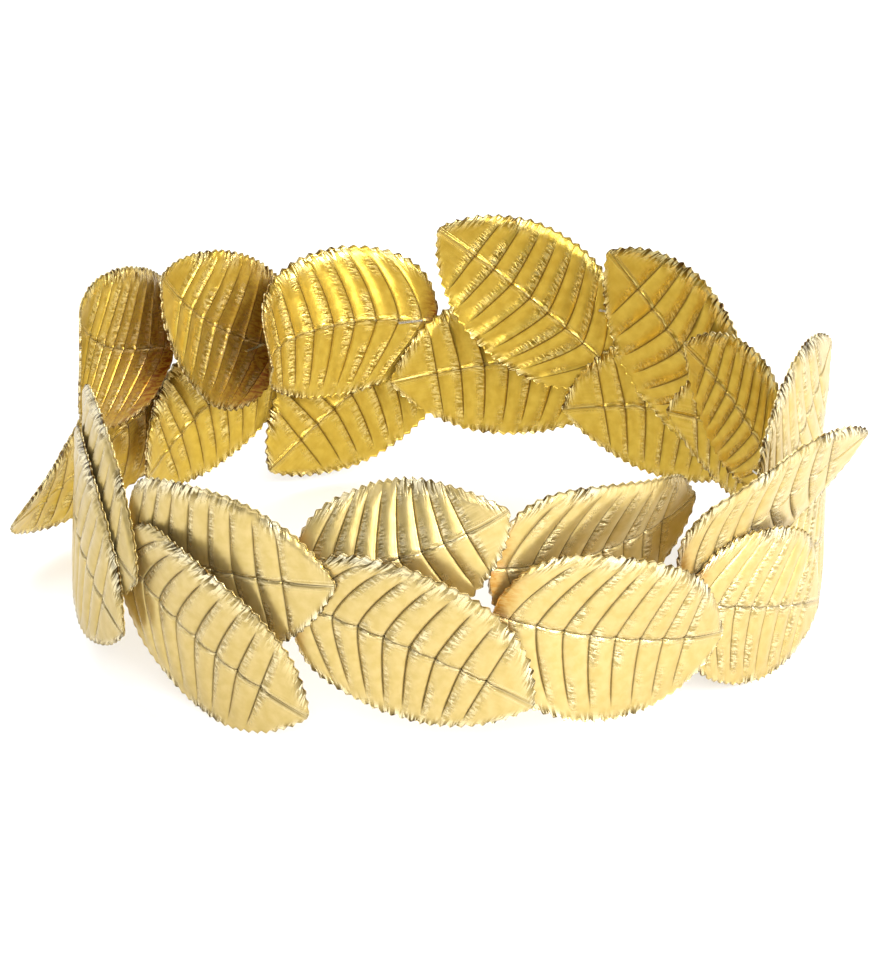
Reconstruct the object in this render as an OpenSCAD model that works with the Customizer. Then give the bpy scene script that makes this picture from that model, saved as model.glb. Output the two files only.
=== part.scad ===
// Laurel wreath crown: twelve pairs of stamped cloth leaves, stapled to one another round the head

/* [Crown] */
// Radius of the circle on which the leaf bases stand
ring_r = 91; // [80:0.5:105]
// Height of the highest leaf base, before the crown is set down
base_height = 50; // [40:0.5:60]
// How far the crown leans back when it stands on its lowest leaves, in degrees
seat_tilt = 2.4; // [0:0.1:5]
// Distance between the middles of two leaves that lie on each other
layer_step = 1.9; // [1.7:0.1:3]

/* [Leaf] */
// Length of a full-size leaf from base to tip
leaf_length = 66; // [50:0.5:80]
// Width of a full-size leaf across its widest place
leaf_width = 43; // [30:0.5:50]
// Thickness of the stamped cloth
wall = 1; // [0.8:0.05:1.4]
// How far the middle of a leaf swells away from the other leaf of its pair
belly = 0.5; // [0.2:0.05:1]

/* [Veins] */
// Side veins on each half of a leaf
veins = 8; // [5:1:10]
// Depth of the stamped veins
vein_depth = 0.4; // [0.1:0.05:0.6]
// How far the side veins lean towards the tip, as a share of the leaf length
vein_sweep = 0.2; // [0:0.01:0.25]
// Depth of the teeth along the edge
tooth_depth = 0.45; // [0:0.05:0.8]

/* [Staple] */
// Width of a staple across its back
staple_width = 7; // [5:0.5:9]
// Height of a staple's legs under its back
staple_leg = 0.4; // [0.2:0.1:1]
// Thickness of the staple wire, square in section
staple_wire = 0.6; // [0.4:0.1:1]
// Gap between the legs and the leaf that they stand on
staple_gap = 0.35; // [0.1:0.05:0.5]

/* [Hidden] */
// Half outline of a leaf: share of its length, share of its half width
OUTLINE = [
    [0.00, 0.20],
    [0.055, 0.58],
    [0.13, 0.78],
    [0.20, 0.88],
    [0.28, 0.95],
    [0.40, 1.00],
    [0.50, 0.99],
    [0.60, 0.945],
    [0.70, 0.85],
    [0.79, 0.70],
    [0.87, 0.52],
    [0.94, 0.31],
    [1.00, 0.03],
];

// Columns of the table of pairs
ANGLE = 0;  // degrees round the ring from the front centre, anticlockwise from above
ORDER = 1;  // 1 where the bases lie inside the leaves before them, -1 where they lie outside
PUSH = 2;   // distance of the bases outside the ring, as a share of its radius
ALONG = 3;  // place of the staple along the upper leaf, as a share of its length
ASIDE = 4;  // place of the staple across the upper leaf, as a share of its half width

PAIRS = [
    [9, 1, 0, 0.08, -0.5],
    [45, 1, 0, 0.12, -0.5],
    [70, 1, 0.02, 0.08, -0.5],
    [96, 1, 0.02, 0.06, -0.5],
    [117, -1, 0, 0.16, 0.2],
    [148, -1, 0, 0.16, 0.8],
    [180, -1, 0, 0.12, 0],
    [207, -1, 0, 0.21, -0.1],
    [231, -1, 0, 0.14, 0.7],
    [267, 1, 0.045, 0.06, -0.5],
    [300, 1, 0.02, 0.08, -0.5],
    [336.5, 1, -0.01, 0.08, -0.5],
];

// Columns of the two tables of leaves
BASE = 0;   // height of the base, as a share of base_height
RISE = 1;   // climb of the midrib, in degrees
LEAN = 2;   // lean of the upper edge outwards, in degrees
FLARE = 3;  // turn of the tip outwards, in degrees
BEND = 4;   // how closely the leaf follows the ring, 1 as round as the ring and 0 straight
BOW = 5;    // rise of the midrib's middle, as a share of the leaf length
FOLD = 6;   // slope of both halves inwards from the midrib
TWIST = 7;  // change of the lean from base to tip, in degrees
CURL = 8;   // turn of the last part of the leaf outwards, in degrees
SIZE = 9;   // size of the leaf as a share of a full-size leaf

LOWER = [
    [0.67, -15, 10, -1.4, 1, -0.02, -0.1, 20, 0, 1.07],
    [0.51, -18, 8, 2, 0.8, 0, 0, 0, 0, 1],
    [0.46, -12, 0, 10, 0.8, 0, 0, 0, 0, 1],
    [0.71, -5, 6, -3, 1, 0, 0, -15, 0, 0.86],
    [0.64, -9, 2, -1, 1, 0.02, 0, 0, 0, 0.96],
    [0.76, -9, 5, -1.7, 1, 0, 0, 0, 0, 0.98],
    [0.81, -35, 5, 0, 1, 0, 0, 0, 0, 0.93],
    [0.80, -24, 0, 2, 1, 0, 0, 0, 0, 0.9],
    [0.78, -21, -20, 16, 0.3, -0.05, 0, -40, 0, 1],
    [0.78, -21, -3, 1, 0.8, 0, 0, 0, 0, 1.05],
    [0.66, -24, 12, -1, 1, 0, 0, 0, 0, 1.06],
    [0.68, -21, 11, 0, 0.8, 0.05, 0, 0, 0, 1],
];

UPPER = [
    [0.90, 2, 17, -13, 0.8, -0.05, -0.15, 30, 0, 1.04],
    [0.60, 25, 32, 14, 0, 0, 0, 0, 0, 1],
    [0.66, 28, -1, 10, 0.3, 0, 0, 0, 0, 1],
    [0.66, 21, 8, -2, 0.9, 0, 0, -20, 0, 0.8],
    [0.53, 42, 2, 2, 1, 0, 0, 0, 0, 1],
    [0.71, 37, 9, 0, 1, 0, 0, 0, 0, 0.94],
    [0.88, 0, 6, -7, 1.2, 0.05, -0.1, 0, -50, 0.98],
    [0.80, 34, 0, -4.5, 0.9, -0.06, 0.25, 0, 0, 0.98],
    [1.00, 24, -11, -3.9, 1, -0.06, 0.06, 0, 0, 1.06],
    [0.98, -16, -4, 0.8, 0.8, 0, 0, 0, 0, 1.06],
    [0.70, 5, 10, 1, 1, 0, 0, -10, 0, 1.08],
    [0.84, 20, -6, -0.5, 1, -0.06, 0.3, 0, 0, 0.88],
];

// Which side of its pair a leaf lies on: 1 for the lower leaf outside, -1 for the upper leaf inside
OUTSIDE = 1;
INSIDE = -1;
pairs = len(PAIRS);

// Straightest bend that is still worked out as an arc, as a share of the ring's curvature
LEAST_BEND = 0.01;
// Sine of the steepest angle at which a bent leaf may leave its base
STEEPEST = 0.99;
// Share of a leaf's length at which its curl starts
CURL_START = 0.7;
// Flare in degrees at which the tip half of a leaf keeps its whole lean
FREE_FLARE = 12;
// Power that sets how quickly the lean grows from the base
LEAN_POWER = 0.7;

// Share of the vein depth that is left at the leaf's edge
EDGE_RELIEF = 0.35;
// Last vein's place along the midrib, first vein's distance from the base in vein steps
LAST_VEIN = 0.9;
FIRST_VEIN = 0.6;
// How much a vein's start moves its end along the edge, and how the sweep fades to the tip
EDGE_STEP = 0.86;
SWEEP_FADE = 0.55;
// Nearest that a vein's end comes to the tip
LAST_EDGE = 0.97;

// Step, as a share of a leaf's length and half width, that shows which way its face looks
NEAR = 0.02;

// Columns of a leaf's mesh, as shares of its half width
COLUMNS = [-1, -0.55, 0, 0.55, 1];

// Rows of a leaf's rounded base, before its first vein
BASE_ROWS = [[0, 0, 0, 0], [0.012, 0.055, 0, 1], [0.028, 0.13, 0, 1]];
TIP_ROW = [1, 1, 0, 0];

// Rows of a leaf's mesh: place on the midrib, place on the edge, relief sign, tooth sign
function vein_place(step) = LAST_VEIN * (step + FIRST_VEIN) / (veins + FIRST_VEIN);
function edge_place(mid) = min(LAST_EDGE, EDGE_STEP * mid + vein_sweep * (1 - SWEEP_FADE * mid));
ROWS = concat(
    BASE_ROWS,
    [for (i = [0:2 * veins - 1]) let (mid = vein_place(i / 2), sign = i % 2 == 0 ? -1 : 1)
        [mid, edge_place(mid), sign, sign]],
    [TIP_ROW]
);

// Ring and pairs
function ring_point(angle, radius) = [radius * sin(angle), -radius * cos(angle), 0];
function degrees(radians) = radians * 180 / PI;
function turned(v, angle) = [v.x * cos(angle) - v.y * sin(angle), v.x * sin(angle) + v.y * cos(angle), 0];
function leaf_row(side, i) = side == OUTSIDE ? LOWER[i] : UPPER[i];

// Base of a leaf, and the place its midrib heads for in the pair after it
function base_point(side, i) =
    ring_point(PAIRS[i][ANGLE], ring_r * (1 + PAIRS[i][PUSH]) + layer_step * (side / 2 - PAIRS[i][ORDER]));
function goal_point(side, i) = let (next = (i + 1) % pairs)
    ring_point(PAIRS[next][ANGLE],
        ring_r * (1 + PAIRS[next][PUSH]) + layer_step * (side / 2 + PAIRS[next][ORDER]));

// Point on the bent line of a leaf seen from above: along the heading, outwards, and the line's angle
function on_arc(k, start, u) = let (a = start[2] - degrees(k * u))
    [start[0] + (sin(start[2]) - sin(a)) / k, start[1] + (cos(a) - cos(start[2])) / k, a];

function unit(v) = v / norm(v);

// Slow swell from 0 at the base to 1 in the middle and 0 at the tip
function swell(s) = sin(180 * s);

// Parabola from 0 at the base to 1 in the middle and 0 at the tip, and its slope
function arch(s) = 4 * s * (1 - s);
function arch_slope(s) = 4 * (1 - 2 * s);

// Point of a leaf: a row and column of its mesh, and the distance outwards from the middle of its wall
function leaf_point(side, i, row, v, depth) =
    let (
        d = leaf_row(side, i),
        length = leaf_length * d[SIZE],
        a = abs(v),
        s = row[0] + (row[1] - row[0]) * a,
        // across the leaf, with the teeth on its edge
        tooth = a == 1 ? tooth_depth * row[3] * v : 0,
        t = v * leaf_width / 2 * d[SIZE] * lookup(row[1], OUTLINE) + tooth,
        // lean, which dies out at the base, and at the tip of a leaf that doesn't stand free
        free = s > 0.5 ? min(1, max(0, d[FLARE] / FREE_FLARE)) : 0,
        window = free + (1 - free) * pow(max(0, swell(s)), LEAN_POWER),
        turn = (d[LEAN] + d[TWIST] * (s - 0.5)) * window,
        relief = vein_depth * swell(s) * (v == 0 ? -1 : a == 1 ? row[2] * EDGE_RELIEF : row[2]),
        off = depth + relief - d[FOLD] * window * abs(t) + side * belly * swell(s),
        across = t * cos(turn) - off * sin(turn) + d[BOW] * length * arch(s),
        out = t * sin(turn) + off * cos(turn),
        along = s * length - t * d[BOW] * arch_slope(s),
        // climb
        u = along * cos(d[RISE]) - across * sin(d[RISE]),
        h = along * sin(d[RISE]) + across * cos(d[RISE]),
        // bend round the head, about the vertical
        p = base_point(side, i),
        way = goal_point(side, i) - p,
        k = max(LEAST_BEND, d[BEND]) / ring_r,
        curl_k = k - d[CURL] * PI / 180 / (length * (1 - CURL_START)),
        curl_u = CURL_START * length * cos(d[RISE]),
        start = [0, 0, asin(min(STEEPEST, k * norm(way) / 2))],
        q = d[CURL] == 0 || u < curl_u
            ? on_arc(k, start, u)
            : on_arc(curl_k, on_arc(k, start, curl_u), u - curl_u),
        x = q[0] - out * sin(q[2]),
        n = q[1] + out * cos(q[2]),
        head = turned(way / norm(way), -d[FLARE])
    )
    p + x * head + n * [head.y, -head.x, 0] + [0, 0, base_height * d[BASE] + h];

// Skin of a leaf at one distance from the middle of its wall, row by row
function leaf_skin(side, i, depth) = [for (row = ROWS, v = COLUMNS) leaf_point(side, i, row, v, depth)];

// Triangles of a leaf: both skins and the rim between them
rows = len(ROWS);
columns = len(COLUMNS);
skin = rows * columns;
RIM = concat(
    [for (c = [0:columns - 1]) c],
    [for (r = [1:rows - 1]) r * columns + columns - 1],
    [for (c = [columns - 2:-1:0]) (rows - 1) * columns + c],
    [for (r = [rows - 2:-1:1]) r * columns]
);
LEAF_FACES = concat(
    [for (r = [0:rows - 2], c = [0:columns - 2], half = [0, 1]) let (a = r * columns + c, b = a + columns)
        half == 0 ? [a, b + 1, b] : [a, a + 1, b + 1]],
    [for (r = [0:rows - 2], c = [0:columns - 2], half = [0, 1])
        let (a = skin + r * columns + c, b = a + columns)
        half == 0 ? [a, b, b + 1] : [a, b + 1, a + 1]],
    [for (i = [0:len(RIM) - 1], half = [0, 1]) let (a = RIM[i], b = RIM[(i + 1) % len(RIM)])
        half == 0 ? [a, b + skin, b] : [a, a + skin, b + skin]]
);

// Height of a point once the crown has leaned back on its lowest leaves
function seated_height(p) = p.z * cos(seat_tilt) - p.y * sin(seat_tilt);
lowest = min([for (side = [OUTSIDE, INSIDE], i = [0:pairs - 1], p = leaf_skin(side, i, wall / 2))
    seated_height(p)]);

module seated() {
    translate([0, 0, -lowest]) rotate([-seat_tilt, 0, 0]) children();
}

module leaf(side, i) {
    seated() polyhedron(
        points = concat(leaf_skin(side, i, wall / 2), leaf_skin(side, i, -wall / 2)),
        faces = LEAF_FACES
    );
}

// Lower leaf of a pair, seen from its outer side
module leaf_lower(i) {
    color("#d9b860") leaf(OUTSIDE, i);
}

// Upper leaf of a pair, which lies inside the lower one
module leaf_upper(i) {
    color("#e3c878") leaf(INSIDE, i);
}

// Staple on the inner face of an upper leaf: its back is level and its legs point at the cloth
module staple(i) {
    s = PAIRS[i][ALONG];
    v = PAIRS[i][ASIDE];
    near = function(ds, dv) leaf_point(INSIDE, i, [s + ds, s + ds, 0, 0], v + dv, 0);
    out = unit(cross(near(NEAR, 0) - near(-NEAR, 0), near(0, NEAR) - near(0, -NEAR)));
    level = unit(cross(out, [0, 0, 1]));
    top = cross(level, out);
    foot = near(0, 0) - out * (wall / 2 + vein_depth * swell(s) + staple_gap);
    color("silver") seated()
        multmatrix([for (k = [0:2]) [level[k], out[k], top[k], foot[k]]])
            translate([0, -staple_leg - staple_wire, -staple_wire / 2])
                linear_extrude(staple_wire) difference() {
                    translate([-staple_width / 2, 0]) square([staple_width, staple_leg + staple_wire]);
                    translate([staple_wire - staple_width / 2, staple_wire])
                        square([staple_width - 2 * staple_wire, staple_leg + staple_wire]);
                }
}

// Node names count the pairs from 01
function number(i) = i < 9 ? str("0", i + 1) : str(i + 1);

for (i = [0:pairs - 1]) {
    leaf_lower(i);
    leaf_upper(i);
    staple(i);
}
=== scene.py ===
import math
from collections import namedtuple
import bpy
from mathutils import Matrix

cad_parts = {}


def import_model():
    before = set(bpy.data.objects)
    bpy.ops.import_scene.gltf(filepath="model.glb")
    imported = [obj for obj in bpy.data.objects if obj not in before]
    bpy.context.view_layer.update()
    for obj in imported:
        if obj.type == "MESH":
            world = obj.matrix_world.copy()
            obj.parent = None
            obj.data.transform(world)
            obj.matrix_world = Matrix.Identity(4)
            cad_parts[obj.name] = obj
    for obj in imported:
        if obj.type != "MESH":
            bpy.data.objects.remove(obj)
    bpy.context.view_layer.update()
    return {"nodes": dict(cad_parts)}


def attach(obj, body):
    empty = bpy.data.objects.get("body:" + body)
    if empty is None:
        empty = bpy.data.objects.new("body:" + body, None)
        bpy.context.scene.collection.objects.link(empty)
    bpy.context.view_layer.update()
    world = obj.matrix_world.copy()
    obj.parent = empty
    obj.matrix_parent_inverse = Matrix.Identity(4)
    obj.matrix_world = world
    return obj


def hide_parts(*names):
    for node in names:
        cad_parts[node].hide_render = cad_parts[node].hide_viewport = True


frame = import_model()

from types import SimpleNamespace

import bpy
import numpy as np
from mathutils import Vector

MM = 0.001

# Crown and leaves as in the CAD source, lengths in mm
RING_R = 91.0                   # radius of the circle on which the leaf bases stand
BASE_HEIGHT = 50.0              # height of the highest leaf base, before the crown is set down
SEAT_TILT = math.radians(2.4)   # how far the crown leans back on its lowest leaves
LAYER_STEP = 1.9                # distance between the middles of two leaves that lie on each other
LEAF_LENGTH = 66.0
LEAF_WIDTH = 43.0
WALL = 1.0
BELLY = 0.5                     # how far a leaf's middle swells away from the other leaf of its pair
VEINS = 8                       # side veins on each half of a leaf
VEIN_DEPTH = 0.4
VEIN_SWEEP = 0.2                # lean of the side veins to the tip, as a share of the leaf length
TOOTH_DEPTH = 0.45
LEAST_BEND = 0.01               # straightest bend worked out as an arc, as a share of the ring's curvature
STEEPEST = 0.99                 # sine of the steepest angle at which a bent leaf may leave its base
CURL_START = 0.7                # share of a leaf's length at which its curl starts
FREE_FLARE = 12.0               # flare in degrees at which the tip half keeps its whole lean
LEAN_POWER = 0.7                # how quickly the lean grows from the base
EDGE_RELIEF = 0.35              # share of the vein depth that is left at the edge
LAST_VEIN = 0.9                 # last vein's place along the midrib
FIRST_VEIN = 0.6                # first vein's distance from the base, in vein steps
EDGE_STEP = 0.86                # how much a vein's start moves its end along the edge
SWEEP_FADE = 0.55               # how the sweep fades to the tip
LAST_EDGE = 0.97                # nearest that a vein's end comes to the tip
CAD_COLUMNS = np.array([-1, -0.55, 0, 0.55, 1])
BASE_MID = [0, 0.012, 0.028]    # rows of the rounded base before the first vein, on the midrib
BASE_EDGE = [0, 0.055, 0.13]    # the same rows on the edge

# Half outline of a leaf: share of its length, share of its half width
OUTLINE = np.array([
    (0.00, 0.20), (0.055, 0.58), (0.13, 0.78), (0.20, 0.88), (0.28, 0.95), (0.40, 1.00), (0.50, 0.99),
    (0.60, 0.945), (0.70, 0.85), (0.79, 0.70), (0.87, 0.52), (0.94, 0.31), (1.00, 0.03),
])

# Pairs of leaves: degrees round the ring from the front centre; 1 where the bases lie inside the leaves
# before them and -1 where they lie outside; push outwards as a share of the ring's radius
Pair = namedtuple("Pair", "angle order push")
PAIRS = [Pair(*row) for row in (
    (9, 1, 0), (45, 1, 0), (70, 1, 0.02), (96, 1, 0.02), (117, -1, 0), (148, -1, 0),
    (180, -1, 0), (207, -1, 0), (231, -1, 0), (267, 1, 0.045), (300, 1, 0.02), (336.5, 1, -0.01),
)]

# Leaves: base height as a share of BASE_HEIGHT, climb of the midrib, lean of the upper edge outwards, turn
# of the tip outwards, how closely the leaf follows the ring, rise of the midrib's middle as a share of the
# length, slope of both halves inwards, change of the lean from base to tip, turn of the last part outwards,
# and size as a share of a full-size leaf; angles in degrees
Leaf = namedtuple("Leaf", "base rise lean flare bend bow fold twist curl size")
LOWER = [Leaf(*row) for row in (
    (0.67, -15, 10, -1.4, 1, -0.02, -0.1, 20, 0, 1.07),
    (0.51, -18, 8, 2, 0.8, 0, 0, 0, 0, 1),
    (0.46, -12, 0, 10, 0.8, 0, 0, 0, 0, 1),
    (0.71, -5, 6, -3, 1, 0, 0, -15, 0, 0.86),
    (0.64, -9, 2, -1, 1, 0.02, 0, 0, 0, 0.96),
    (0.76, -9, 5, -1.7, 1, 0, 0, 0, 0, 0.98),
    (0.81, -35, 5, 0, 1, 0, 0, 0, 0, 0.93),
    (0.80, -24, 0, 2, 1, 0, 0, 0, 0, 0.9),
    (0.78, -21, -20, 16, 0.3, -0.05, 0, -40, 0, 1),
    (0.78, -21, -3, 1, 0.8, 0, 0, 0, 0, 1.05),
    (0.66, -24, 12, -1, 1, 0, 0, 0, 0, 1.06),
    (0.68, -21, 11, 0, 0.8, 0.05, 0, 0, 0, 1),
)]
UPPER = [Leaf(*row) for row in (
    (0.90, 2, 17, -13, 0.8, -0.05, -0.15, 30, 0, 1.04),
    (0.60, 25, 32, 14, 0, 0, 0, 0, 0, 1),
    (0.66, 28, -1, 10, 0.3, 0, 0, 0, 0, 1),
    (0.66, 21, 8, -2, 0.9, 0, 0, -20, 0, 0.8),
    (0.53, 42, 2, 2, 1, 0, 0, 0, 0, 1),
    (0.71, 37, 9, 0, 1, 0, 0, 0, 0, 0.94),
    (0.88, 0, 6, -7, 1.2, 0.05, -0.1, 0, -50, 0.98),
    (0.80, 34, 0, -4.5, 0.9, -0.06, 0.25, 0, 0, 0.98),
    (1.00, 24, -11, -3.9, 1, -0.06, 0.06, 0, 0, 1.06),
    (0.98, -16, -4, 0.8, 0.8, 0, 0, 0, 0, 1.06),
    (0.70, 5, 10, 1, 1, 0, 0, -10, 0, 1.08),
    (0.84, 20, -6, -0.5, 1, -0.06, 0.3, 0, 0, 0.88),
)]
# Which side of its pair a leaf lies on: the lower leaf outside, the upper leaf inside
OUTSIDE, INSIDE = 1, -1

# Finished cloth, lengths in mm
CLOTH = 0.6             # thickness of the stamped cloth
VEIN_CURVE = 1.35       # power that bends the side veins towards the tip
STAMP_DEPTH = 0.58      # depth of the stamped veins
PUFF = 1.7              # height of the puffed panels over the veins, in stamp depths
PANEL_FLANK = 0.16      # share of a panel that a steep flank takes
PANEL_CREASE = 0.4      # share of a panel's height that its steep flanks give, the rest being round
PANEL_END = 0.93        # share of the half width at which the panels end
PANEL_FADE = 0.28       # share of the half width over which they fade
PANEL_POWER = 0.8       # fullness of the flanks and of the fade
RELIEF_POWER = 0.6      # how quickly the relief grows from the base and dies out at the tip
GROOVE_DEPTH = 0.12     # fine groove at the bottom of each vein
GROOVE_WIDTH = 0.17
GROOVE_END = 0.86       # share of the half width at which the grooves end
GROOVE_FADE = 0.12
MIDRIB_DEPTH = 0.35
MIDRIB_WIDTH = 0.4
MIDRIB_LINE = 0.14      # width of the dark line in the midrib
MIDRIB_ONSET = 1.6      # how soon the midrib reaches its depth, against the side veins
PUCKER = 0.05           # height of the soft puckers
PUCKERS = (5.5, 5.5)    # length and width of the larger ones
SMALL_PUCKERS = (2.4, 2.8)
SMALL_SHARE = 0.5       # height of the smaller ones against the larger
WAVE = 0.16             # height of the waves near the edge
WAVES = (3.2, 9)        # their length and width
WAVE_START = 0.6        # share of the half width at which they start
ROLL = 1.0              # how far the upper edge rolls away from the face that the photograph shows
ROLL_WIDTH = 3.4
ROLL_ONSET = 1.5        # how soon after the base the roll is full, against the side veins
BACK = range(3, 9)      # pairs that are seen from inside the ring
PINK_PITCH = 2.9        # length of one tooth of the pinked edge
PINK_DEPTH = 0.5        # half of a tooth's depth
PINK_START = 0.9        # share of the half width at which the teeth start to push the cloth
PINK_GROWTH = 3.0       # length over which the teeth grow at the base
PINK_FADE = 2.0         # length over which they fade at the tip

# Mesh of the finished leaf: rows in the base and the tip, rows from one side vein to the next and columns
# from the midrib to the edge, closer together beside the stamped lines
BASE_ROWS = 44
BASE_KNOTS = [0, 0.22, 0.5, 1.0]    # share of the base rows at which each row of the CAD base is reached
TIP_ROWS = 26
VEIN_ROWS = np.array([
    0, 0.018, 0.045, 0.09, 0.15, 0.23, 0.32, 0.41, 0.5, 0.59, 0.68, 0.77, 0.85, 0.91, 0.955, 0.982,
])
HALF_COLUMNS = np.array([
    0, 0.006, 0.015, 0.03, 0.055, 0.1, 0.16, 0.23, 0.31, 0.39, 0.47, 0.55, 0.63, 0.7, 0.76, 0.82, 0.88, 0.93,
    0.965, 1,
])
COLUMNS = np.concatenate([-HALF_COLUMNS[:0:-1], HALF_COLUMNS])
LAST_STEP = VEINS - 0.5             # vein step from which the last panel runs to the tip
LAST_GROOVE = VEINS - 0.9           # vein step after which there is no groove
FAR = 9.0                           # distance that counts as away from every vein
OUTLINE_REACH = 0.03                # share of the length over which the outline's corners are rounded

# Bands of crinkled foil, lengths in mm
UPPER_BAND = 3.0                    # width of the band along the upper edge
LOWER_BAND = 1.6                    # width of the band along the lower edge
VEIN_BAND = 1.3                     # width of the band on the tip side of each vein
VEIN_BAND_PLACE = 1.2               # distance of its middle from the vein
VEIN_BAND_END = 0.95                # share of the half width at which it ends
VEIN_BAND_FADE = 0.2
BAND_ONSET = 1.5                    # how soon after the base it is full, against the side veins
RIB_BAND = 1.1                      # width of the band along the midrib
RIB_BAND_SHARE = 0.6                # its strength against the bands beside the veins
RIB_LINE_SHARE = 0.7                # strength of the midrib's dark line against the veins' lines
LINE_ONSET = 2.0
EDGE_PATCHES = (6, 1 / 9)           # cells of the noise that breaks up the bands along the edges
EDGE_COVER = (0.6, 0.7)             # their strength on average, and how far the noise changes it
VEIN_PATCHES = (7, 5)               # cells of the noise that breaks up the bands beside the veins
VEIN_COVER = (0.55, 0.9)            # their strength on average, and how far the noise changes it
TUCKED = 0.09                       # share of the length over which the next leaf's warm shade reaches
# the same share on inner faces that lie deeper behind their neighbour, by side and pair
SHADE_REACH = {(INSIDE, 7): 0.75, (INSIDE, 8): 0.7, (OUTSIDE, 8): 0.5}
MAP_SCALE = 0.01                    # UV units for a mm
HALVES_APART = 60.0                 # mm between the UV maps of the two halves

# Grid of the value noise, and the cell in it at which every leaf starts
CELLS = 64
NOISE_ORIGIN = 40


# Form of a leaf
def share(x):
    return np.clip(x, 0, 1)


def ridge(x, width):
    """1 at x = 0, falling to nothing on both sides."""
    return np.exp(-(x / width) ** 2)


def swell(s):
    """Slow swell from 0 at the base to 1 in the middle and 0 at the tip."""
    return np.sin(np.pi * share(s))


def leaf_row(side, i):
    return (LOWER if side == OUTSIDE else UPPER)[i]


def ring_point(angle, radius):
    a = math.radians(angle)
    return np.array([radius * math.sin(a), -radius * math.cos(a)])


def base_point(side, i):
    pair = PAIRS[i]
    return ring_point(pair.angle, RING_R * (1 + pair.push) + LAYER_STEP * (side / 2 - pair.order))


def goal_point(side, i):
    """Place that the midrib heads for, in the next pair."""
    pair = PAIRS[(i + 1) % len(PAIRS)]
    return ring_point(pair.angle, RING_R * (1 + pair.push) + LAYER_STEP * (side / 2 + pair.order))


def on_arc(k, x, n, angle, u):
    """Point at the distance u on an arc of curvature k: along the heading, outwards, and its angle."""
    a = angle - k * u
    return x + (np.sin(angle) - np.sin(a)) / k, n + (np.cos(a) - np.cos(angle)) / k, a


def bent(row, length, start, u):
    """Point at the distance u on a leaf's bent line, seen from above."""
    k = max(LEAST_BEND, row.bend) / RING_R
    x, n, a = on_arc(k, 0.0, 0.0, start, u)
    if not row.curl:
        return x, n, a
    curl_u = CURL_START * length * math.cos(math.radians(row.rise))
    curl_k = k - math.radians(row.curl) / (length * (1 - CURL_START))
    curled = on_arc(curl_k, *on_arc(k, 0.0, 0.0, start, curl_u), u - curl_u)
    return [np.where(u >= curl_u, late, early) for early, late in zip((x, n, a), curled)]


def placed(side, i, s, t, lift, shift=0.0):
    """Points of a leaf at the share s of its length, t mm across and lift mm over the middle of its wall."""
    row = leaf_row(side, i)
    length = LEAF_LENGTH * row.size
    # lean, which dies out at the base, and at the tip of a leaf that doesn't stand free
    free = np.where(s > 0.5, min(1.0, max(0.0, row.flare / FREE_FLARE)), 0.0)
    window = free + (1 - free) * np.maximum(0, swell(s)) ** LEAN_POWER
    turn = np.radians((row.lean + row.twist * (s - 0.5)) * window)
    off = lift - row.fold * window * np.abs(t) + side * BELLY * swell(s)
    across = t * np.cos(turn) - off * np.sin(turn) + row.bow * length * 4 * s * (1 - s)
    out = t * np.sin(turn) + off * np.cos(turn)
    along = s * length - t * row.bow * 4 * (1 - 2 * s) + shift
    # climb
    climb = math.radians(row.rise)
    u = along * math.cos(climb) - across * math.sin(climb)
    height = BASE_HEIGHT * row.base + along * math.sin(climb) + across * math.cos(climb)
    # bend round the head, and flare
    base = base_point(side, i)
    way = goal_point(side, i) - base
    distance = float(np.hypot(*way))
    start = math.asin(min(STEEPEST, max(LEAST_BEND, row.bend) / RING_R * distance / 2))
    x, n, a = bent(row, length, start, u)
    x = x - out * np.sin(a)
    n = n + out * np.cos(a)
    flare = math.radians(-row.flare)
    ahead_x, ahead_y = way / distance
    head_x = ahead_x * math.cos(flare) - ahead_y * math.sin(flare)
    head_y = ahead_x * math.sin(flare) + ahead_y * math.cos(flare)
    px = base[0] + x * head_x + n * head_y
    py = base[1] + x * head_y - n * head_x
    # lean of the whole crown on its lowest leaves
    level, drop = math.cos(SEAT_TILT), math.sin(SEAT_TILT)
    return np.stack([px, py * level + height * drop, height * level - py * drop], -1)


def vein_place(step):
    return LAST_VEIN * (step + FIRST_VEIN) / (VEINS + FIRST_VEIN)


def edge_place(mid):
    return np.minimum(LAST_EDGE, EDGE_STEP * mid + VEIN_SWEEP * (1 - SWEEP_FADE * mid))


def cad_lowest():
    """Lowest point of the CAD leaves before the crown is set down."""
    steps = np.arange(2 * VEINS)
    sign = np.where(steps % 2 == 0, -1.0, 1.0)
    body = vein_place(steps / 2)
    mid = np.concatenate([BASE_MID, body, [1]])
    edge = np.concatenate([BASE_EDGE, edge_place(body), [1]])
    relief = np.concatenate([[0, 0, 0], sign, [0]])[:, None]
    tooth = np.concatenate([[0, 1, 1], sign, [0]])[:, None]
    v = CAD_COLUMNS
    at_edge = np.abs(v) == 1
    s = mid[:, None] + (edge - mid)[:, None] * np.abs(v)
    height = VEIN_DEPTH * swell(s) * np.where(v == 0, -1, relief * np.where(at_edge, EDGE_RELIEF, 1))
    depths = []
    for side in (OUTSIDE, INSIDE):
        for i in range(len(PAIRS)):
            half = LEAF_WIDTH / 2 * leaf_row(side, i).size * np.interp(edge, OUTLINE[:, 0], OUTLINE[:, 1])
            t = v * half[:, None] + np.where(at_edge, TOOTH_DEPTH * tooth * v, 0)
            depths.append(placed(side, i, s, t, height + WALL / 2)[..., 2].min())
    return min(depths)


LOWEST = cad_lowest()


# Mesh of a finished leaf
def smooth_outline(s):
    """Half width of the outline, with its corners rounded."""
    reach = np.minimum(OUTLINE_REACH, np.minimum(s, 1 - s) * 0.6)
    near = np.linspace(-1, 1, 9)
    return np.mean([np.interp(s + d * reach, OUTLINE[:, 0], OUTLINE[:, 1]) for d in near], axis=0)


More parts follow.
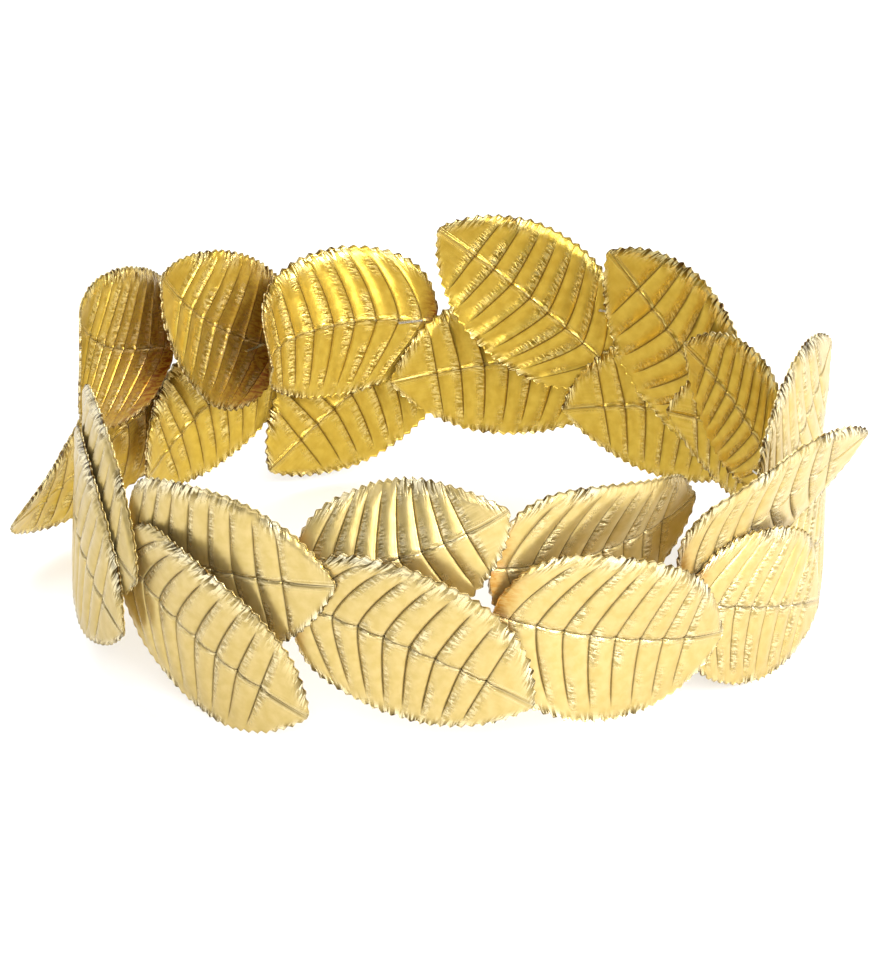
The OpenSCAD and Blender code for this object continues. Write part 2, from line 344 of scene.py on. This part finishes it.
def leaf_rows():
    """Place on the midrib, place on the edge and vein step of each row of the fine mesh."""
    base = np.linspace(0, 1, BASE_ROWS, endpoint=False)
    body = (np.arange(VEINS)[:, None] + VEIN_ROWS).ravel()
    body = body[body <= LAST_STEP]
    tip = np.linspace(0, 1, TIP_ROWS + 1)[1:]
    first = vein_place(0)
    mid = vein_place(body)
    edge = edge_place(mid)
    base_mid = np.interp(base, BASE_KNOTS, BASE_MID + [first])
    base_edge = np.interp(base, BASE_KNOTS, BASE_EDGE + [edge_place(first)])
    mid_rows = np.concatenate([base_mid, mid, mid[-1] + (1 - mid[-1]) * tip])
    edge_rows = np.concatenate([base_edge, edge, edge[-1] + (1 - edge[-1]) * tip])
    return mid_rows, edge_rows, np.concatenate([base - 1, body, np.full(TIP_ROWS, LAST_STEP)])


MID, EDGE, STEP = leaf_rows()


def value_noise(rng, u, v, cell):
    """Smooth noise between -1 and 1 on a seeded grid of cells, whose length and width are given."""
    grid = rng.uniform(-1, 1, (CELLS, CELLS))
    u, v = u / cell[0] + NOISE_ORIGIN, v / cell[1] + NOISE_ORIGIN
    iu, iv = np.floor(u).astype(int), np.floor(v).astype(int)
    fu, fv = u - iu, v - iv
    fu, fv = fu * fu * (3 - 2 * fu), fv * fv * (3 - 2 * fv)
    iu, iv, ju, jv = iu % CELLS, iv % CELLS, (iu + 1) % CELLS, (iv + 1) % CELLS
    near = grid[iu, iv] * (1 - fu) + grid[ju, iv] * fu
    far = grid[iu, jv] * (1 - fu) + grid[ju, jv] * fu
    return near * (1 - fv) + far * fv


def leaf_grid(size):
    """Rows and columns of a leaf before it is shaped. Column v runs from -1 at the lower edge to 1."""
    v = COLUMNS[None, :]
    a = np.abs(v)
    s = MID[:, None] + (EDGE - MID)[:, None] * a ** VEIN_CURVE
    length = LEAF_LENGTH * size
    rim = LEAF_WIDTH / 2 * size * smooth_outline(EDGE)
    arc = np.concatenate([[0], np.cumsum(np.hypot(np.diff(EDGE * length), np.diff(rim)))])
    return SimpleNamespace(
        v=v, a=a, s=s, t=v * rim[:, None], shift=np.zeros_like(s), length=length, rim=rim, arc=arc,
        inward=(1 - a) * rim[:, None], pitch=length * LAST_VEIN / (VEINS + FIRST_VEIN),
        fade=swell(s) ** RELIEF_POWER,
    )


def pink_edge(grid, rng):
    """Push the edge into even teeth, square to the outline."""
    arc = grid.arc
    dx, dy = np.gradient(EDGE * grid.length, arc), np.gradient(grid.rim, arc)
    slope = np.hypot(dx, dy)
    push = share((grid.a - PINK_START) / (1 - PINK_START))
    ends = share(arc / PINK_GROWTH) * share((arc[-1] - arc) / PINK_FADE)
    for half in (-1, 1):
        phase = (arc / PINK_PITCH + rng.uniform(0, 1)) % 1
        tooth = PINK_DEPTH * (1 - 4 * np.abs(phase - 0.5)) * ends
        on_half = (np.sign(grid.v) == half) * push
        grid.t = grid.t + half * on_half * (tooth * dx / slope)[:, None]
        grid.shift = grid.shift - on_half * (tooth * dy / slope)[:, None]


def grooves(grid):
    """1 at the bottom of each side vein, falling to nothing beside it."""
    f = STEP - np.floor(STEP)
    distance = np.abs(f - np.round(f)) * grid.pitch
    distance = np.where((STEP > LAST_GROOVE) | (STEP < -0.5), FAR, distance)[:, None]
    return ridge(distance, GROOVE_WIDTH) * share((GROOVE_END - grid.a) / GROOVE_FADE)


def stamped(grid, rng, roll):
    """Height of the cloth: veins with puffed panels between them, midrib, puckers and the rolled edge."""
    f = STEP - np.floor(STEP)
    flank = np.sin(np.pi / 2 * share(np.minimum(f, 1 - f) / PANEL_FLANK)) ** PANEL_POWER
    panel = PANEL_CREASE * flank + (1 - PANEL_CREASE) * np.sin(np.pi * f)
    panel = np.where(STEP >= LAST_STEP, 1.0, panel)[:, None]
    inner = share((PANEL_END - grid.a) / PANEL_FADE) ** PANEL_POWER
    height = STAMP_DEPTH * grid.fade * inner * (PUFF * panel - 1)
    height = height - GROOVE_DEPTH * grooves(grid) * grid.fade
    height = height - MIDRIB_DEPTH * ridge(grid.t, MIDRIB_WIDTH) * share(grid.fade * MIDRIB_ONSET)
    u, t = grid.s * grid.length, grid.t
    pucker = value_noise(rng, u, t, PUCKERS) + SMALL_SHARE * value_noise(rng, u, t, SMALL_PUCKERS)
    wave = value_noise(rng, u, t, WAVES) * share((grid.a - WAVE_START) / (1 - WAVE_START))
    rolled = share(1 - grid.inward / ROLL_WIDTH) ** 2 * (grid.v > 0) * share(grid.fade * ROLL_ONSET)
    return height + PUCKER * pucker + WAVE * wave + roll * rolled


def crinkles(grid, rng):
    """Bands of crinkled foil along the edge and beside the veins, and the stamped lines."""
    u, t, v = grid.s * grid.length, grid.t, grid.v
    cover, change = EDGE_COVER
    patchy = share(cover + change * value_noise(rng, grid.arc[:, None], np.sign(v), EDGE_PATCHES))
    near_edge = ridge(grid.inward, np.where(v > 0, UPPER_BAND, LOWER_BAND)) * patchy
    ahead = np.where(STEP > -0.5, STEP - np.floor(STEP), 0.5)[:, None] * grid.pitch
    beside = ridge(ahead - VEIN_BAND_PLACE, VEIN_BAND) * share((VEIN_BAND_END - grid.a) / VEIN_BAND_FADE)
    cover, change = VEIN_COVER
    patchy = share(cover + change * value_noise(rng, u, t, VEIN_PATCHES))
    beside = beside * share(grid.fade * BAND_ONSET) * patchy
    near_vein = share(beside + RIB_BAND_SHARE * ridge(t, RIB_BAND))
    line = share(grooves(grid) + RIB_LINE_SHARE * ridge(t, MIDRIB_LINE)) * share(grid.fade * LINE_ONSET)
    return {"near_edge": near_edge, "near_vein": near_vein, "groove": line}


def leaf_maps(grid):
    """UV maps: the flat leaf, the strip along its edge, and the strips along its veins."""
    other_half = np.where(grid.v < 0, HALVES_APART, 0.0)
    maps = {
        "leaf": (grid.s * grid.length + grid.shift, grid.t),
        "rim": (grid.arc[:, None] + other_half, grid.inward),
        "vein": (STEP[:, None] * grid.pitch + other_half, np.abs(grid.t)),
    }
    return {key: np.stack(uv, -1).reshape(-1, 2) * MAP_SCALE for key, uv in maps.items()}


def leaf_faces(rows, columns):
    """Faces of the outer skin, the inner skin and the rim between them, and the material of each."""
    count = rows * columns
    index = np.arange(count).reshape(rows, columns)
    skin = np.stack([index[:-1, :-1], index[1:, :-1], index[1:, 1:], index[:-1, 1:]], -1).reshape(-1, 4)
    rim = np.concatenate([index[0, :-1], index[:-1, -1], index[-1, :0:-1], index[:0:-1, 0]])
    after = np.roll(rim, -1)
    edge = np.stack([after, rim, rim + count, after + count], -1)
    kinds = np.repeat([0, 1, 2], [len(skin), len(skin), len(edge)])
    return np.concatenate([skin, skin[:, ::-1] + count, edge]), kinds


def leaf_mesh(side, i, seed):
    """Points in metres, faces with their materials, point values and UV maps of a leaf's two skins."""
    rng = np.random.default_rng(seed)
    grid = leaf_grid(leaf_row(side, i).size)
    pink_edge(grid, rng)
    height = stamped(grid, rng, ROLL if i in BACK else -ROLL)
    skins = [placed(side, i, grid.s, grid.t, height + d, grid.shift) for d in (CLOTH / 2, -CLOTH / 2)]
    points = np.concatenate([skin.reshape(-1, 3) for skin in skins])
    points[:, 2] -= LOWEST
    faces, kinds = leaf_faces(*grid.s.shape)
    values = {key: [band, band] for key, band in crinkles(grid, rng).items()}
    reaches = (TUCKED, SHADE_REACH.get((side, i), TUCKED))
    values["tucked"] = [share(1 - grid.s / reach) for reach in reaches]
    values = {key: np.concatenate([skin.ravel() for skin in both]) for key, both in values.items()}
    maps = {key: np.concatenate([uv, uv]) for key, uv in leaf_maps(grid).items()}
    return points * MM, faces, kinds, values, maps


# Materials
class Nodes:
    """A material, with short calls that add shader nodes to it."""

    def __init__(self, name):
        self.mat = bpy.data.materials.new(name)
        self.mat.use_nodes = True
        self.tree = self.mat.node_tree
        self.shader = self.tree.nodes["Principled BSDF"]

    def put(self, socket, value):
        if isinstance(value, bpy.types.NodeSocket):
            self.tree.links.new(value, socket)
        else:
            socket.default_value = value

    def shade(self, **values):
        for name, value in values.items():
            self.put(self.shader.inputs[name.replace("_", " ")], value)

    def add(self, kind, values, **settings):
        node = self.tree.nodes.new("ShaderNode" + kind)
        for name, value in settings.items():
            setattr(node, name, value)
        for name, value in values.items():
            self.put(node.inputs[name], value)
        return node

    def math(self, operation, a, b, clamp=False):
        return self.add("Math", {0: a, 1: b}, operation=operation, use_clamp=clamp).outputs[0]

    def times(self, a, b, clamp=False):
        return self.math("MULTIPLY", a, b, clamp)

    def plus(self, a, b):
        return self.math("ADD", a, b)

    def mix(self, amount, a, b):
        return self.add("MixRGB", {"Fac": amount, "Color1": a, "Color2": b}).outputs[0]

    def ramp(self, value, low, dark, high, pale):
        node = self.add("ValToRGB", {"Fac": value})
        for stop, place, colour in zip(node.color_ramp.elements, (low, high), (dark, pale)):
            stop.position, stop.color = place, colour
        return node.outputs[0]

    def sharp(self, value, low, high):
        """Smooth step from 0 at low to 1 at high."""
        values = {"Value": value, "From Min": low, "From Max": high}
        return self.add("MapRange", values, interpolation_type="SMOOTHSTEP").outputs["Result"]

    def uv(self, name):
        return self.add("UVMap", {}, uv_map=name).outputs["UV"]

    def attribute(self, name):
        return self.add("Attribute", {}, attribute_name=name, attribute_type="GEOMETRY").outputs["Fac"]

    def mapped(self, vector, scale, turn=0.0):
        values = {"Vector": vector, "Scale": scale, "Rotation": (0, 0, turn)}
        return self.add("Mapping", values).outputs["Vector"]

    def noise(self, vector, scale, detail, rough, distortion=0.0):
        values = {
            "Vector": vector, "Scale": scale, "Detail": detail, "Roughness": rough, "Distortion": distortion,
        }
        return self.add("TexNoise", values).outputs["Fac"]

    def bump(self, height, strength, distance):
        values = {"Height": height, "Strength": strength, "Distance": distance}
        return self.add("Bump", values).outputs["Normal"]


# Hairs of the crinkled foil: how high they stand, how dark the shade painted in their hollows is and how pale
# the highlight painted on their ridges is
Hair = namedtuple("Hair", "height hollow gleam")
RIM_HAIR = Hair(0.20, 0.95, 0.70)
VEIN_HAIR = Hair(0.09, 0.45, 0.38)
FOIL_HEIGHT = 0.001     # metres for a height of 1


def lame(name, pale, deep, brown, warm, highlight):
    """Gold foil on cloth: smooth panels, crinkled hairs beside the veins and the edge, dark stamped lines."""
    m = Nodes(name)
    leaf_uv, rim_uv, vein_uv = [m.uv(key) for key in ("leaf", "rim", "vein")]
    edge, vein = m.attribute("near_edge"), m.attribute("near_vein")
    groove, tucked = m.attribute("groove"), m.attribute("tucked")
    soft = m.noise(leaf_uv, 16.0, 2.0, 0.5)
    patch = m.noise(leaf_uv, 34.0, 2.0, 0.55)
    weave = m.noise(m.mapped(leaf_uv, (520, 260, 1), 0.8), 1.0, 1.0, 0.5)
    # hairs across the edge, and hairs slanted from the veins
    rim_hair = m.sharp(m.noise(m.mapped(rim_uv, (105, 22, 1), 0.35), 1.0, 1.5, 0.5, 0.6), 0.43, 0.57)
    vein_hair = m.sharp(m.noise(m.mapped(vein_uv, (40, 160, 1), 0.5), 1.0, 2.0, 0.55, 0.6), 0.42, 0.60)
    bands = ((rim_hair, edge, RIM_HAIR), (vein_hair, vein, VEIN_HAIR))
    height = m.plus(m.times(weave, 0.03), m.times(soft, 0.25))
    for hair, band, look in bands:
        height = m.plus(height, m.times(m.times(hair, band), look.height))
    # colour: patches, painted warm shade under the next leaf, painted shade in the hollows of the hairs and
    # painted highlights on their ridges, stamped lines
    tone = m.ramp(patch, 0.35, deep, 0.65, pale)
    tone = m.mix(m.times(tucked, m.plus(m.times(vein_hair, 0.5), 0.6), clamp=True), tone, warm)
    for hair, band, look in bands:
        # painted shade: the hollows of the hairs are painted dark, standing in for shade and dark reflections
        # in the crinkles
        hollow = m.times(m.math("SUBTRACT", 1.0, hair), band)
        tone = m.mix(m.times(hollow, look.hollow), tone, brown)
        # painted highlight: the ridges of the hairs are painted pale
        tone = m.mix(m.times(m.times(hair, band), look.gleam), tone, highlight)
    tone = m.mix(m.times(groove, 0.9), tone, brown)
    # crinkled foil is glossier than the smooth panels
    rough = m.math("SUBTRACT", 0.28, m.times(m.math("MAXIMUM", edge, vein), 0.15))
    m.shade(
        Base_Color=tone, Metallic=0.7, Specular_IOR_Level=0.12, Roughness=m.plus(rough, m.times(weave, 0.06)),
        Normal=m.bump(height, 1.0, FOIL_HEIGHT),
    )
    return m.mat


def steel(name):
    """Bright drawn wire."""
    m = Nodes(name)
    place = m.add("TexCoord", {}).outputs["Object"]
    grain = m.noise(m.mapped(place, (900, 900, 5200)), 1.0, 2.0, 0.6)
    m.shade(
        Base_Color=m.ramp(grain, 0.3, (0.46, 0.46, 0.47, 1), 0.7, (0.7, 0.71, 0.72, 1)), Metallic=1.0,
        Roughness=m.plus(m.times(grain, 0.25), 0.15), Normal=m.bump(grain, 0.4, 0.00004),
    )
    return m.mat


# Colours of the smooth foil, its deeper patches, the painted shade in the hollows and the lines, the painted
# warm shade, and the painted highlights on the ridges
OUTER_GOLD = lame(
    "lame_outer", (0.58, 0.445, 0.18, 1), (0.52, 0.39, 0.135, 1), (0.05, 0.03, 0.008, 1),
    (0.42, 0.18, 0.02, 1), (1.0, 0.92, 0.66, 1),
)
INNER_GOLD = lame(
    "lame_inner", (0.62, 0.44, 0.068, 1), (0.54, 0.365, 0.048, 1), (0.06, 0.02, 0.003, 1),
    (0.20, 0.045, 0.002, 1), (1.0, 0.88, 0.46, 1),
)
RIM_GOLD = lame(
    "lame_rim", (0.56, 0.44, 0.17, 1), (0.42, 0.30, 0.1, 1), (0.12, 0.06, 0.01, 1),
    (0.5, 0.22, 0.04, 1), (0.9, 0.8, 0.5, 1),
)
STEEL = steel("staple_steel")


# Pieces
def leaf(side, i):
    """Finished leaf in place of the CAD leaf.

    A lower leaf lies on the lower leaf of the pair before it, and an upper leaf on its pair's lower leaf.
    """
    kind = "lower" if side == OUTSIDE else "upper"
    node = f"leaf_{kind}_{i + 1:02d}"
    points, faces, kinds, values, maps = leaf_mesh(side, i, 100 * (side + 2) + i)
    mesh = bpy.data.meshes.new("gold_" + node)
    mesh.from_pydata(points.tolist(), [], faces.tolist())
    for key, numbers in values.items():
        mesh.attributes.new(key, "FLOAT", "POINT").data.foreach_set("value", numbers.astype(np.float32))
    corners = np.zeros(len(mesh.loops), np.int32)
    mesh.loops.foreach_get("vertex_index", corners)
    for key, uv in maps.items():
        mesh.uv_layers.new(name=key).data.foreach_set("uv", uv[corners].astype(np.float32).ravel())
    for material in (OUTER_GOLD, INNER_GOLD, RIM_GOLD):
        mesh.materials.append(material)
    mesh.polygons.foreach_set("material_index", kinds.astype(np.int32))
    mesh.polygons.foreach_set("use_smooth", np.ones(len(faces), bool))
    mesh.validate()
    mesh.update()
    piece = bpy.data.objects.new("gold_" + node, mesh)
    bpy.context.scene.collection.objects.link(piece)
    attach(piece, "root")
    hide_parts(node)


for side in (OUTSIDE, INSIDE):
    for i in range(len(PAIRS)):
        leaf(side, i)
for name, node in frame["nodes"].items():
    if name.startswith("staple"):
        node.data.materials.clear()
        node.data.materials.append(STEEL)


# Studio, in metres
scene = bpy.context.scene
scene.view_settings.view_transform = "Standard"
scene.view_settings.look = "None"
FLOOR_HALF = 6.0
LIGHTS_AIM = (0, 0, 0.04)
AIM = (0.001, 0.0014, 0.0389)
DISTANCE = 1.3
ELEVATION = math.radians(24.4)
LENS, SENSOR = 185, 36
# grey of the sky by height, from straight down at 0 to straight up at 1
SKY = [(0.0, 0.3), (0.02, 0.06), (0.34, 0.05), (0.46, 0.6), (0.7, 0.8), (1.0, 0.9)]
BACKDROP = 0.93


def grey(value):
    return value, value, value, 1


def floor():
    mesh = bpy.data.meshes.new("floor")
    r = FLOOR_HALF
    mesh.from_pydata([(-r, -r, 0), (r, -r, 0), (r, r, 0), (-r, r, 0)], [], [(0, 1, 2, 3)])
    m = Nodes("floor_white")
    m.shade(Base_Color=grey(0.9), Roughness=0.9, Specular_IOR_Level=0.1)
    mesh.materials.append(m.mat)
    plate = bpy.data.objects.new("floor", mesh)
    scene.collection.objects.link(plate)


def aimed(thing, at):
    thing.rotation_mode = "QUATERNION"
    thing.rotation_quaternion = (Vector(at) - thing.location).to_track_quat("-Z", "Y")


def softbox(name, place, width, height, power):
    light = bpy.data.lights.new(name, "AREA")
    light.shape, light.size, light.size_y = "RECTANGLE", width, height
    light.energy = power
    lamp = bpy.data.objects.new(name, light)
    lamp.location = place
    scene.collection.objects.link(lamp)
    aimed(lamp, LIGHTS_AIM)


def world():
    """Sky that is pale above and dark below, with pale patches for the gloss to show."""
    sky = bpy.data.worlds.new("studio")
    scene.world = sky
    sky.use_nodes = True
    tree = sky.node_tree
    link, add = tree.links.new, tree.nodes.new
    coord = add("ShaderNodeTexCoord")
    split = add("ShaderNodeSeparateXYZ")
    link(coord.outputs["Generated"], split.inputs[0])
    heights = add("ShaderNodeValToRGB")
    link(split.outputs["Z"], heights.inputs["Fac"])
    stops = heights.color_ramp.elements
    while len(stops) < len(SKY):
        stops.new(0.5)
    for stop, (place, value) in zip(stops, SKY):
        stop.position, stop.color = place, grey(value)
    noise = add("ShaderNodeTexNoise")
    link(coord.outputs["Generated"], noise.inputs["Vector"])
    noise.inputs["Scale"].default_value = 3.0
    noise.inputs["Detail"].default_value = 0.0
    patches = add("ShaderNodeValToRGB")
    link(noise.outputs["Fac"], patches.inputs["Fac"])
    for stop, place, value in zip(patches.color_ramp.elements, (0.50, 0.58), (0, 0.7)):
        stop.position, stop.color = place, grey(value)
    both = add("ShaderNodeMixRGB")
    both.blend_type = "LIGHTEN"
    both.inputs["Fac"].default_value = 1.0
    link(heights.outputs["Color"], both.inputs["Color1"])
    link(patches.outputs["Color"], both.inputs["Color2"])
    # the camera itself sees a plain pale backdrop
    path = add("ShaderNodeLightPath")
    seen = add("ShaderNodeMixRGB")
    link(path.outputs["Is Camera Ray"], seen.inputs["Fac"])
    link(both.outputs["Color"], seen.inputs["Color1"])
    seen.inputs["Color2"].default_value = grey(BACKDROP)
    link(seen.outputs["Color"], tree.nodes["Background"].inputs["Color"])


def camera():
    lens = bpy.data.cameras.new("camera")
    lens.lens, lens.sensor_width = LENS, SENSOR
    lens.clip_end = 50
    eye = bpy.data.objects.new("camera", lens)
    scene.collection.objects.link(eye)
    back, up = DISTANCE * math.cos(ELEVATION), DISTANCE * math.sin(ELEVATION)
    eye.location = (AIM[0], AIM[1] - back, AIM[2] + up)
    aimed(eye, AIM)
    scene.camera = eye


floor()
world()
softbox("top", (0, 0.1, 1.5), 1.6, 1.3, 12)
softbox("key", (0.1, -1.4, 0.85), 0.9, 0.7, 15)
softbox("fill", (1.1, -0.75, 0.55), 0.6, 0.6, 22)
softbox("back", (0.2, 1.3, 1.0), 1.2, 0.5, 5)
camera()
